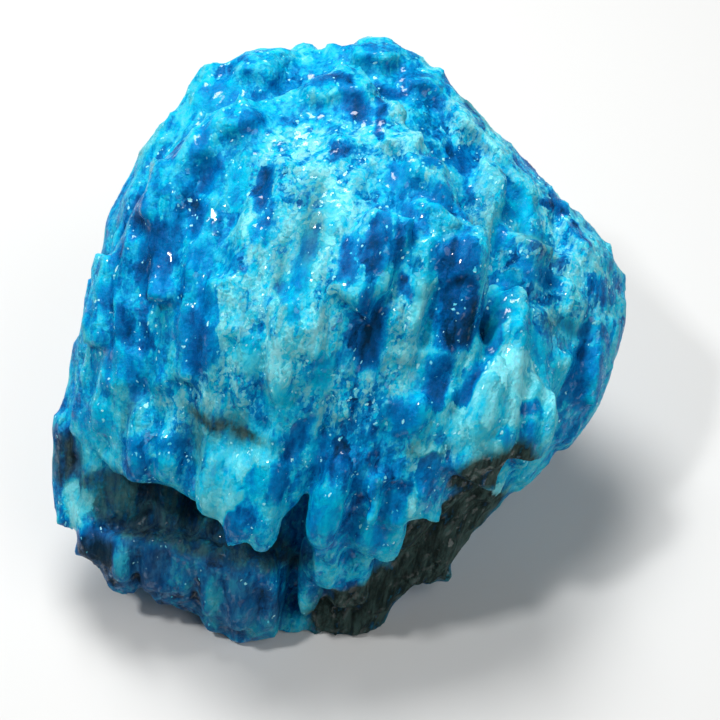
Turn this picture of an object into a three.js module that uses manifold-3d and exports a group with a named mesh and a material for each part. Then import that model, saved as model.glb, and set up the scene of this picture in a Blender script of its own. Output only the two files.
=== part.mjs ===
// Blue apatite crystal: a fist-sized broken lump of massive blue apatite, grown as one bundle of
// near-parallel prisms and lying on a flat break. One solid. Millimetres, +Z up, origin at the
// middle of the bottom of its box, the broad face leaning back towards +Y.
//
// The lump is described in its own upright frame before it is leant back: x runs across the broad
// face, y runs up it along the grain of the crystals, and z comes straight out of it.

import * as THREE from "three";
import { ConvexGeometry } from "three/addons/geometries/ConvexGeometry.js";
import { MeshSurfaceSampler } from "three/addons/math/MeshSurfaceSampler.js";
import { mergeVertices } from "three/addons/utils/BufferGeometryUtils.js";
import Module from "manifold-3d";

const wasm = await Module();
wasm.setup();

// ---------------------------------------------------------------- driving dimensions

const LEAN_BACK = 40; // degrees that the broad face leans back from upright
const BASE_DROP = 27.5; // from the middle of the lump down to the flat break that it lies on
const GRAIN_TILT = 10; // degrees that the grain leans towards +x at the middle of the broad face
const GRAIN_FAN = 0.22; // degrees of extra lean for each millimetre towards +x
const GRAIN_UNEVENNESS = 8; // degrees that a crystal strays from the grain
const CRYSTAL_COUNT = 158;
const CRYSTAL_RADIUS = [2.6, 4.3];
const CRYSTAL_LENGTH = [10, 20];
const CRYSTAL_RISE = [0.9, 2.2]; // how far a crystal stands out of the broken surface
const CRYSTAL_DEPTH = 0.85; // a crystal's depth into the lump against its width
const END_SHARE = [0.78, 1]; // how wide a crystal is at its end
const END_SLANT = [0.1, 0.6]; // how much its broken end slopes
const BACK_COARSENESS = 1.45; // crystals of the hidden side against those of the broad face
const LIE_FLAT = 0.85; // how far a crystal turns from the grain to lie along the surface
const END_ON = 0.85; // where the grain meets the surface more squarely, crystals show their ends
const CANDIDATES = 40; // places tried for each crystal, to spread them evenly
const OUTERMOST = [1.04, 1.04, 1.12]; // crystals are worn off past these shares of the masses
const RANDOM_SEED = 20417;

// ---------------------------------------------------------------- small helpers

// A repeatable random number from 0 to 1 at each call.
function randomSource(seed) {
  let state = seed >>> 0;
  return () => {
    state = (state + 0x6d2b79f5) >>> 0;
    let t = Math.imul(state ^ (state >>> 15), 1 | state);
    t = (t + Math.imul(t ^ (t >>> 7), 61 | t)) ^ t;
    return ((t ^ (t >>> 14)) >>> 0) / 4294967296;
  };
}

const random = randomSource(RANDOM_SEED);
const between = ([low, high]) => low + (high - low) * random();
const jitter = (amount) => (random() * 2 - 1) * amount;

function solidFrom(geometry) {
  const bare = geometry.clone();
  bare.deleteAttribute("normal");
  bare.deleteAttribute("uv");
  const merged = mergeVertices(bare, 1e-4);
  return new wasm.Manifold(
    new wasm.Mesh({
      numProp: 3,
      vertProperties: new Float32Array(merged.attributes.position.array),
      triVerts: new Uint32Array(merged.index.array),
    }),
  );
}

function geometryFrom(solid) {
  const mesh = solid.getMesh();
  const positions = new Float32Array(mesh.numVert * 3);
  for (let i = 0; i < mesh.numVert; i++) {
    const start = i * mesh.numProp;
    positions.set(mesh.vertProperties.subarray(start, start + 3), i * 3);
  }
  const geometry = new THREE.BufferGeometry();
  geometry.setAttribute("position", new THREE.BufferAttribute(positions, 3));
  geometry.setIndex(new THREE.BufferAttribute(new Uint32Array(mesh.triVerts), 1));
  return geometry;
}

// The main body alone, without loose chips or sealed gaps between crystals.
const largestBody = (solid) =>
  solid.decompose().reduce((a, b) => (a.volume() > b.volume() ? a : b));

const hull = (corners) =>
  solidFrom(new ConvexGeometry(corners.map((c) => new THREE.Vector3(...c))));

// ---------------------------------------------------------------- the broken masses

// The whole lump at the level of its recesses: the rim all round, and the hidden back.
function heartOfTheLump() {
  return [
    // rim, clockwise from the upper left shoulder
    [-17.5, 36.5, 0], [-5, 40, -3], [6.5, 41, -4], [13, 36.5, -4],
    [19.5, 31.5, -6], [26.5, 24.5, -7], [33.5, 17, -7], [38.7, 11, -6],
    [39, 2, -5], [35, -9, -3], [28.5, -17.5, -4], [20, -24, -5],
    [15, -29, -5], [8, -36, -4], [4, -40, -2.5], [-5.5, -40.5, -2],
    [-13.5, -40.5, -1.5], [-24, -35.5, -1], [-33, -30, -1], [-37.5, -21, 0],
    [-38, -15, 0], [-35.5, -5, 1], [-33, 5, 0], [-31, 17, 0],
    [-25.5, 27.5, 0],
    // recess level of the front
    [-23, 20, 8], [-5, 29, 6], [8.5, 28, 6], [17.5, 21, 5],
    [25.5, 10, 6], [28.5, 1, 7], [25.5, -12, 6], [16, -18.5, 6],
    [7, -25, 4], [-1, -32, 2], [-10, -27, 4], [-23.5, -20, 2.5],
    [-32, -18, 1.5],
    // hidden back
    [-22, 20, -15], [0, 26, -18], [18, 16, -19], [28, 2, -17],
    [21, -14, -19], [4, -24, -20], [-16, -22, -17], [-27, -8, -14],
    [-6, 4, -24], [10, -2, -25], [-4, -12, -26],
  ];
}

// The broad proud block: the left and the middle of the face, down to the overhanging ledge.
function broadBlock() {
  return [
    [-24, 20.5, 11], [-16.5, 29, 11], [-6, 32.5, 8], [5.5, 32, 8],
    [10.5, 26, 12], [15, 18, 15.5], [17.5, 12, 17], [17, 6, 17],
    [11, -2, 19.5], [1, -8, 20.5], [-2.5, -11, 19.5], [-5.5, -17, 18.5],
    [-7, -23, 17], [-11, -24, 15.5], [-16, -21.5, 14], [-24, -17, 11],
    [-31, -15.5, 7], [-36, -12.5, 4], [-34, -5, 6.5], [-31, 5, 8],
    [-29, 12, 8],
    [-4, 4.5, 23.5], [-16.5, 1, 19.5], [-4.5, 19, 18.5], [5.5, 9.5, 22.5],
    [-22, 18, -4], [4, 28, -4], [12, 6, -4], [0, -10, -4],
    [-30, -11, -4], [-14, -16, -4],
  ];
}

// The block that carries the fingers, right of the cleft under the broad block.
function fingerBlock() {
  return [
    [0.5, -6, 20], [12, -2, 19], [14, -10, 19], [14.5, -14, 18],
    [9.5, -21.5, 16], [7, -25.5, 13.5], [2, -27, 12.5], [-2.5, -25, 15],
    [-1.5, -16, 18.5],
    [2, -8, -4], [12, -8, -4], [8, -24, -4], [0, -22, -4],
  ];
}

// The wedge of pale crystals low on the right, with its own foot.
function rightWedge() {
  return [
    [21, 2, 15], [15, -11.5, 18.5], [18, -12.5, 18], [25, -14, 13.5],
    [28, -7, 10], [30.5, 0, 5], [23, 1, 11],
    [18, 0, -4], [14, -10, -4], [26, -13, -4], [30, -4, -4],
  ];
}

// The foot of the face, set back under the right wedge.
function footOfTheFace() {
  return [
    [6.5, -15, 17.5], [15, -12, 17], [18, -13, 14.5], [18.5, -19, 8.5],
    [13.5, -23.5, 4], [8.5, -28, 6],
    [4, -14, -4], [18, -12, -4], [18, -20, -4], [8, -28, -6],
  ];
}

// The lower step, which the ledge overhangs.
function lowerStep() {
  return [
    [-34.5, -27, 3], [-30.5, -26, 6], [-23, -26.5, 8], [-15.5, -28.5, 9],
    [-9.5, -29.5, 9], [-8, -35, 5], [-9.5, -39.5, -1], [-13, -39, 0],
    [-18.5, -36.5, 0.5], [-23, -34, 1], [-29, -32.5, 1], [-33, -29.5, 0.5],
    [-32, -24, -6], [-20, -22, -6], [-8, -26, -6], [-10, -36, -8],
  ];
}

// A long slab down the back, on the side of the broad block.
function backSlab() {
  return [
    [-20, 22, -16], [-9, 30, -16], [-2, 27, -20], [0, 8, -27.5],
    [-5, -6, -29], [-17, -5, -24], [-23, 8, -18],
    [-14, 12, -8], [-4, 12, -8], [-8, -4, -8],
  ];
}

// A shorter shelf beside it, on the side of the right wedge.
function backShelf() {
  return [
    [7, 15, -23], [19, 16, -21], [29, 4, -19], [25, -9, -21],
    [10, -12, -28], [4, -3, -29],
    [8, 12, -8], [20, 10, -8], [18, -8, -8],
  ];
}

// ---------------------------------------------------------------- one crystal

// A broken six-sided prism along y, a little uneven, with both its ends snapped off aslant.
function crystalShape(radius, length, flatness = CRYSTAL_DEPTH) {
  const turn = random() * Math.PI;
  const corners = [];
  for (const end of [-1, 1]) {
    const share = between(END_SHARE);
    const slant = between(END_SLANT);
    const lowSide = random() * 2 * Math.PI;
    for (let i = 0; i < 6; i++) {
      const angle = turn + (i * Math.PI) / 3;
      const reach = radius * share * (1 + jitter(0.1));
      corners.push([
        Math.cos(angle) * reach,
        end * (length / 2 - radius * slant * (1 + Math.cos(angle - lowSide))),
        Math.sin(angle) * reach * flatness,
      ]);
    }
  }
  return new ConvexGeometry(corners.map((c) => new THREE.Vector3(...c)));
}

// The direction of the grain at a place, leaning more towards the right of the face.
function grainAt(place) {
  const lean = GRAIN_TILT + GRAIN_FAN * place.x + jitter(GRAIN_UNEVENNESS);
  const nod = jitter(GRAIN_UNEVENNESS);
  return new THREE.Vector3(0, 1, 0).applyEuler(
    new THREE.Euler(THREE.MathUtils.degToRad(nod), 0, THREE.MathUtils.degToRad(-lean)),
  );
}

// A crystal with its middle at a place, its length along an axis, turned to face outward.
function crystalAt(middle, axis, outward, radius, length, flatness) {
  const side = new THREE.Vector3().crossVectors(axis, outward).normalize();
  const face = new THREE.Vector3().crossVectors(side, axis);
  const basis = new THREE.Matrix4().makeBasis(side, axis, face).setPosition(middle);
  return solidFrom(crystalShape(radius, length, flatness).applyMatrix4(basis));
}

// ---------------------------------------------------------------- crystals over the surface

const coarsenessAt = (place) => (place.z > 0 ? 1 : BACK_COARSENESS);

// Places spread evenly over a solid's surface, each with the way that the surface faces there.
function surfaceSpots(solid, count) {
  const geometry = geometryFrom(solid).toNonIndexed();
  geometry.computeVertexNormals();
  const surface = new THREE.Mesh(geometry);
  const sampler = new MeshSurfaceSampler(surface).setRandomGenerator(random).build();
  const spots = [];
  for (let i = 0; i < count; i++) {
    let best = { gap: -1 };
    for (let j = 0; j < CANDIDATES; j++) {
      const place = new THREE.Vector3();
      const outward = new THREE.Vector3();
      sampler.sample(place, outward);
      const nearest = Math.min(...spots.map((spot) => spot.place.distanceTo(place)), 1000);
      const gap = nearest / coarsenessAt(place);
      if (gap > best.gap) best = { gap, place, outward };
    }
    spots.push(best);
  }
  return spots;
}

function surfaceCrystals(solid) {
  return surfaceSpots(solid, CRYSTAL_COUNT).map(({ place, outward }) => {
    const coarseness = coarsenessAt(place);
    const radius = between(CRYSTAL_RADIUS) * coarseness;
    const length = between(CRYSTAL_LENGTH) * coarseness;
    const grain = grainAt(place);
    const squareness = grain.dot(outward);
    const turned = Math.abs(squareness) < END_ON ? LIE_FLAT : 0;
    const axis = grain.addScaledVector(outward, -squareness * turned).normalize();
    const endOn = Math.abs(axis.dot(outward));
    const reach = (endOn * length) / 2 + Math.sqrt(1 - endOn ** 2) * radius * CRYSTAL_DEPTH;
    const middle = place.clone().addScaledVector(outward, between(CRYSTAL_RISE) - reach);
    return crystalAt(middle, axis, outward, radius, length);
  });
}

// ---------------------------------------------------------------- hollows

// A hollow in the shape of a crystal between two points, radius across the face, depth into it.
function hollowBetween(from, to, radius, depth) {
  const start = new THREE.Vector3(...from);
  const end = new THREE.Vector3(...to);
  const length = start.distanceTo(end);
  const axis = end.clone().sub(start).normalize();
  const middle = start.lerp(end, 0.5);
  const outward = new THREE.Vector3(0, 0, 1);
  return crystalAt(middle, axis, outward, radius, length, depth / radius);
}

// Places where crystals have fallen out or the masses have parted.
function hollows() {
  return [
    hollowBetween([18, 13, 20], [12, -2, 21], 3.4, 6), // deep blue hollow
    hollowBetween([14.5, 1, 21], [12, -10.5, 21.5], 1.1, 5), // cleft under it
    hollowBetween([6.3, 6, 25], [4.2, -5, 25.5], 1.7, 4), // pocket of a lost crystal
    hollowBetween([-0.5, -7, 24], [-4.5, -25, 20], 1.2, 8), // cleft left of the fingers
    hollowBetween([-4.5, -20, 16], [-6, -40, 2], 2.2, 9), // its mouth below
    hollowBetween([-20, -9.3, 23], [-8.5, -12.6, 25], 0.8, 5), // crack across the face
    recessUnderTheLedge([-34.5, -17], [-21, -19.5], 4.5, 6, -1.5, 4),
    recessUnderTheLedge([-22, -19], [-8, -27], 5.5, 2.5, 4, 8),
  ];
}

// A dark recess below a stretch of the ledge: its upper edge runs between two places on the face,
// its height and floor level change from the first place to the second.
function recessUnderTheLedge(start, end, startHeight, endHeight, startFloor, endFloor) {
  const inFront = 30;
  const undercut = 1.2;
  const splay = 3;
  return hull([
    [start[0], start[1] + undercut, startFloor], [end[0], end[1] + undercut, endFloor],
    [start[0], start[1] - startHeight, startFloor], [end[0], end[1] - endHeight, endFloor],
    [start[0], start[1] - undercut, inFront], [end[0], end[1] - undercut, inFront],
    [start[0], start[1] - startHeight - splay, inFront],
    [end[0], end[1] - endHeight - splay, inFront],
  ]);
}

// ---------------------------------------------------------------- build

function lump() {
  const masses = [
    heartOfTheLump(),
    broadBlock(),
    fingerBlock(),
    rightWedge(),
    footOfTheFace(),
    lowerStep(),
    backSlab(),
    backShelf(),
  ];
  const wornTo = masses.flat().map((corner) => corner.map((v, i) => v * OUTERMOST[i]));
  const broken = masses.map(hull).reduce((whole, mass) => whole.add(mass));
  const grown = surfaceCrystals(broken).reduce((whole, crystal) => whole.add(crystal), broken);
  const worn = grown.intersect(hull(wornTo));
  const opened = hollows().reduce((whole, hollow) => whole.subtract(hollow), worn);
  return largestBody(opened);
}

// The lump leant back, cut flat where it lies, and centred over the origin.
function leantAndCut(solid) {
  const lean = new THREE.Matrix4().makeRotationX(THREE.MathUtils.degToRad(LEAN_BACK));
  const leant = solidFrom(geometryFrom(solid).applyMatrix4(lean));
  const bed = 200;
  const below = new THREE.BoxGeometry(bed, bed, bed).translate(0, 0, -bed / 2 - BASE_DROP);
  return largestBody(leant.subtract(solidFrom(below)));
}

const apatiteBlue = new THREE.MeshStandardMaterial({
  name: "apatite",
  color: 0x1683c4,
  roughness: 0.35,
  metalness: 0,
  flatShading: true,
});

const solid = leantAndCut(lump());
const geometry = geometryFrom(solid);
geometry.computeBoundingBox();
const box = geometry.boundingBox;
const crystal = new THREE.Mesh(geometry, apatiteBlue);
crystal.name = "blue_apatite_crystal";
crystal.position.set(
  -(box.min.x + box.max.x) / 2,
  -(box.min.y + box.max.y) / 2,
  -box.min.z,
);

const specimen = new THREE.Group();
specimen.add(crystal);

export default specimen;
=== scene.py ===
"""Blue apatite crystal: the dressed lump, its material, and a plain studio to look at it in.

The lump is described in its own upright frame, in millimetres: x runs across the broad face, y runs
up it along the grain of the crystals, and z comes straight out of it. It leans back as it lies.
"""

import math

import bmesh
import bpy
import numpy as np
from bpy.props import FloatProperty, FloatVectorProperty, IntProperty, PointerProperty
from mathutils import Matrix, Vector, noise
from mathutils.bvhtree import BVHTree


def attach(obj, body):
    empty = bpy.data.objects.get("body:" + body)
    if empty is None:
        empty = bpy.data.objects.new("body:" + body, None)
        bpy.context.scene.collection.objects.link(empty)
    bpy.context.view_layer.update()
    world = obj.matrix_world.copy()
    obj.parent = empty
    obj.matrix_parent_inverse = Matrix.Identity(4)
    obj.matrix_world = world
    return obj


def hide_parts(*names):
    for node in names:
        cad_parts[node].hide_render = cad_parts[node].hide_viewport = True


bl_info = {
    "name": "Blue Apatite Crystal",
    "version": (1, 0, 0),
    "blender": (4, 5, 0),
    "location": "View3D > Sidebar > Apatite",
    "description": "Grows the skin of crystals on the packed lump and sets the studio round it",
    "category": "Add Mesh",
}

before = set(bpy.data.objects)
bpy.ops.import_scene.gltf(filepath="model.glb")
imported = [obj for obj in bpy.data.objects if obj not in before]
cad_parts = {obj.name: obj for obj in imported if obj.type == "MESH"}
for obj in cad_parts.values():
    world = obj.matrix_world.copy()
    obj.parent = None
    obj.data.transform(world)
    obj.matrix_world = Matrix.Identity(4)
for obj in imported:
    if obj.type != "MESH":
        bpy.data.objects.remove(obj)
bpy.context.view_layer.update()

# ---------------------------------------------------------------- the lump's own frame

MM = 0.001
LEAN_BACK = math.radians(40)  # how far the broad face leans back from upright
LUMP_MIDDLE = Vector((-0.84, -2.15, 27.5)) * MM  # the middle of the lump, from the frame's origin
LUMP_TO_FRAME = Matrix.Translation(LUMP_MIDDLE) @ Matrix.Rotation(LEAN_BACK, 4, "X")

# The camera looks straight at the broad face. Distances are in millimetres.
CAMERA_DISTANCE = 230.0
VIEW_WIDTH = 97.2  # across the view, at the middle of the lump
VIEW_MIDDLE = (3.1, -2.7)  # the x and y of the lump that the camera looks at
VIEW_SIZE = 720  # places in the view count this many steps across and down, from the top left
VIEW_STEP = VIEW_WIDTH / VIEW_SIZE


# ---------------------------------------------------------------- node sheets


class Field:
    """An output of a node. Arithmetic on it adds the node that works the result out."""

    def __init__(self, sheet, socket):
        self.sheet = sheet
        self.socket = socket

    def _worked_out(self, operation, *terms):
        kinds = [t.socket.type if isinstance(t, Field) else type(t) for t in terms]
        of_vectors = any(kind in ("VECTOR", "RGBA", tuple, Vector) for kind in kinds)
        kind = "ShaderNodeVectorMath" if of_vectors else "ShaderNodeMath"
        return self.sheet.node(kind, {"operation": operation}, *terms)[0]

    def __add__(self, other):
        return self._worked_out("ADD", self, other)

    def __radd__(self, other):
        return self._worked_out("ADD", other, self)

    def __sub__(self, other):
        return self._worked_out("SUBTRACT", self, other)

    def __rsub__(self, other):
        return self._worked_out("SUBTRACT", other, self)

    def __mul__(self, other):
        return self._worked_out("MULTIPLY", self, other)

    def __rmul__(self, other):
        return self._worked_out("MULTIPLY", other, self)

    def __truediv__(self, other):
        return self._worked_out("DIVIDE", self, other)

    def __neg__(self):
        return self * -1

    def at_least(self, other):
        return self._worked_out("MAXIMUM", self, other)

    def root(self):
        return self._worked_out("SQRT", self)

    def dot(self, other):
        settings = {"operation": "DOT_PRODUCT"}
        return self.sheet.node("ShaderNodeVectorMath", settings, self, other)["Value"]

    def unit(self):
        return self.sheet.node("ShaderNodeVectorMath", {"operation": "NORMALIZE"}, self)[0]

    def parts(self):
        split = self.sheet.node("ShaderNodeSeparateXYZ", {}, self)
        return split[0], split[1], split[2]

    def between(self, low, high):
        """0 below low, 1 above high, and a smooth rise from one to the other."""
        settings = {"interpolation_type": "SMOOTHSTEP"}
        return self.sheet.node("ShaderNodeMapRange", settings, self, low, high, 0.0, 1.0)[0]


class Made:
    """A node that has been added, whose outputs are read by name or by number."""

    def __init__(self, sheet, node):
        self.sheet = sheet
        self.node = node
        self.outputs = [s for s in node.outputs if s.enabled]

    def __getitem__(self, key):
        if isinstance(key, int):
            return Field(self.sheet, self.outputs[key])
        return Field(self.sheet, next(s for s in self.outputs if s.name == key))


class Sheet:
    """A node tree that is filled one node at a time."""

    def __init__(self, tree):
        self.tree = tree

    def node(self, kind, settings=None, *inputs, **named):
        """Adds a node, sets its settings first, then gives its inputs in order or by name."""
        node = self.tree.nodes.new(kind)
        for name, value in (settings or {}).items():
            setattr(node, name, value)
        sockets = [s for s in node.inputs if s.enabled]
        for socket, value in zip(sockets, inputs):
            self.give(socket, value)
        for name, value in named.items():
            words = name.replace("_", " ").lower()
            self.give(next(s for s in sockets if s.name.lower() == words), value)
        return Made(self, node)

    def give(self, socket, value):
        if isinstance(value, list):
            for one in value:
                self.give(socket, one)
        elif isinstance(value, Field):
            self.tree.links.new(value.socket, socket)
        elif value is not None:
            if socket.type in ("VECTOR", "RGBA") and isinstance(value, (int, float)):
                value = (value,) * len(socket.default_value)
            socket.default_value = value

    def join(self, *values):
        return self.node("ShaderNodeCombineXYZ", {}, *values)[0]

    def mix(self, factor, a, b):
        kinds = [v.socket.type for v in (a, b) if isinstance(v, Field)]
        data = "VECTOR" if "VECTOR" in kinds else "FLOAT"
        return self.node("ShaderNodeMix", {"data_type": data}, factor, a, b)[0]

    def blend(self, factor, a, b):
        """One colour into another."""
        return self.node("ShaderNodeMix", {"data_type": "RGBA"}, factor, a, b)[0]

    def noise(self, place, scale, detail, roughness):
        return self.node(
            "ShaderNodeTexNoise", {}, place, Scale=scale, Detail=detail, Roughness=roughness
        )[0]

    def cells(self, place, feature="F1"):
        return self.node("ShaderNodeTexVoronoi", {"feature": feature}, place, Scale=1.0)

    def stored(self, name):
        """A number that the skin or a crystal stores on its points."""
        settings = {"data_type": "FLOAT"}
        return self.node("GeometryNodeInputNamedAttribute", settings, name)["Attribute"]


class GeometrySheet(Sheet):
    """A Geometry Nodes tree with named inputs."""

    def __init__(self, name, inputs):
        super().__init__(bpy.data.node_groups.new(name, "GeometryNodeTree"))
        self.tree.is_modifier = True
        face = self.tree.interface
        face.new_socket(name="Geometry", in_out="INPUT", socket_type="NodeSocketGeometry")
        face.new_socket(name="Geometry", in_out="OUTPUT", socket_type="NodeSocketGeometry")
        for label, kind in inputs.items():
            face.new_socket(name=label, in_out="INPUT", socket_type="NodeSocket" + kind)
        self.given = self.node("NodeGroupInput")

    def finish(self, geometry, material):
        """Ends the tree as a plain mesh with its material."""
        real = self.node("GeometryNodeRealizeInstances", {}, geometry)[0]
        dressed = self.node("GeometryNodeSetMaterial", {}, real, Material=material)[0]
        self.node("NodeGroupOutput", {}, dressed)

    def attribute(self, geometry, name, value, kind="FLOAT", domain="POINT"):
        settings = {"data_type": kind, "domain": domain}
        kept = (geometry, None, name, value)
        return self.node("GeometryNodeStoreNamedAttribute", settings, *kept)[0]

    def random(self, low, high, seed):
        settings = {"data_type": "FLOAT"}
        return self.node("FunctionNodeRandomValue", settings, low, high, Seed=seed)[0]

    def worn_by(self, obj, values):
        """The plain mesh that obj becomes with this tree and these values of its inputs."""
        modifier = obj.modifiers.new(self.tree.name, "NODES")
        modifier.node_group = self.tree
        for item in self.tree.interface.items_tree:
            if item.in_out == "INPUT" and item.name in values:
                modifier[item.identifier] = values[item.name]
        return plain_mesh(obj)


def plain_mesh(obj):
    """The mesh that obj's modifiers make of it. The modifiers are then taken off."""
    bpy.context.view_layer.update()
    seen = obj.evaluated_get(bpy.context.evaluated_depsgraph_get())
    mesh = bpy.data.meshes.new_from_object(seen)
    obj.modifiers.clear()
    return mesh


def new_object(name, mesh):
    obj = bpy.data.objects.new(name, mesh)
    bpy.context.scene.collection.objects.link(obj)
    return obj


# ---------------------------------------------------------------- places in the lump

LUMP_AXES = {
    "x": Vector((1, 0, 0)),
    "y": Vector((0, math.cos(LEAN_BACK), math.sin(LEAN_BACK))),
    "z": Vector((0, -math.sin(LEAN_BACK), math.cos(LEAN_BACK))),
}


def lump_place(sheet, position):
    """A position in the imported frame, as millimetres in the lump's own frame."""
    from_middle = (position - tuple(LUMP_MIDDLE)) * (1 / MM)
    return sheet.join(*(from_middle.dot(tuple(axis)) for axis in LUMP_AXES.values()))


def lump_direction(sheet, x, y, z):
    """A direction in the lump's own frame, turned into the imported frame."""
    turned = [tuple(LUMP_AXES[name]) for name in "xyz"]
    return (sheet.join(x, x, x) * turned[0]) + (sheet.join(y, y, y) * turned[1]) + (
        sheet.join(z, z, z) * turned[2]
    )


def grain_place(sheet, place, tilt, fan):
    """A place in the lump, straightened so that the fanned grain runs along y."""
    x, y, z = place.parts()
    across = (x - y * math.tan(tilt)) / (y * fan + 1)
    return sheet.join(across, y, z)


# ---------------------------------------------------------------- forms of the broad face

# Every form is an oval on the broad face, given as the camera sees it: the place of its middle in
# the view, its half width and half height, and how many degrees its upper end leans to the right.
# How light its blue is runs from 0, navy, through 0.4, blue, and 0.6, cyan, to 1, almost white.

# The lightness also carries painted light and shade: the right side and the wedge are lighter, as
# painted light where the lamps light them less, and the hollow, the dark pockets and the lower step
# are darker, as painted shade.
# Broad regions, painted first: then how light, and how sugary from 0 to 1.
REGIONS = [
    ((300, 230), (62, 135), 5, 0.7, 0.9),
    ((262, 335), (58, 62), 0, 0.78, 0.9),
    ((400, 135), (42, 58), -50, 0.68, 0.9),
    ((330, 62), (85, 26), 0, 0.53, 0.15),
    # The right strip: lighter also as painted light, where the lamps light it less.
    ((545, 255), (62, 95), -50, 0.6, 0.9),
    ((480, 125), (36, 46), -50, 0.68, 0.9),
    ((404, 335), (20, 66), 5, 0.66, 0.9),
    ((205, 392), (62, 28), 0, 0.58, 0.9),
    ((345, 405), (42, 36), 0, 0.54, 0.9),
    # The lower step: a darker blue, and darker still as painted shade.
    ((180, 585), (115, 50), 18, 0.26, 0.15),
    ((405, 455), (60, 14), -5, 0.62, 0.9),
    ((195, 445), (24, 40), 0, 0.6, 0.9),
    ((165, 112), (35, 66), 45, 0.58, 0.15),
    ((150, 275), (70, 125), 5, 0.43, 0.15),
    ((228, 100), (50, 45), 0, 0.53, 0.15),
    ((240, 470), (58, 55), 10, 0.66, 0.15),
    ((345, 490), (60, 60), 0, 0.42, 0.15),
    ((64, 480), (16, 56), 0, 0.32, 0.15),
    # The wedge and its pale crystals: pale crystal, and lighter still as painted light on a side
    # that faces away from the lamps.
    ((500, 400), (52, 57), 30, 1.0, 0.35),
]

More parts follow.
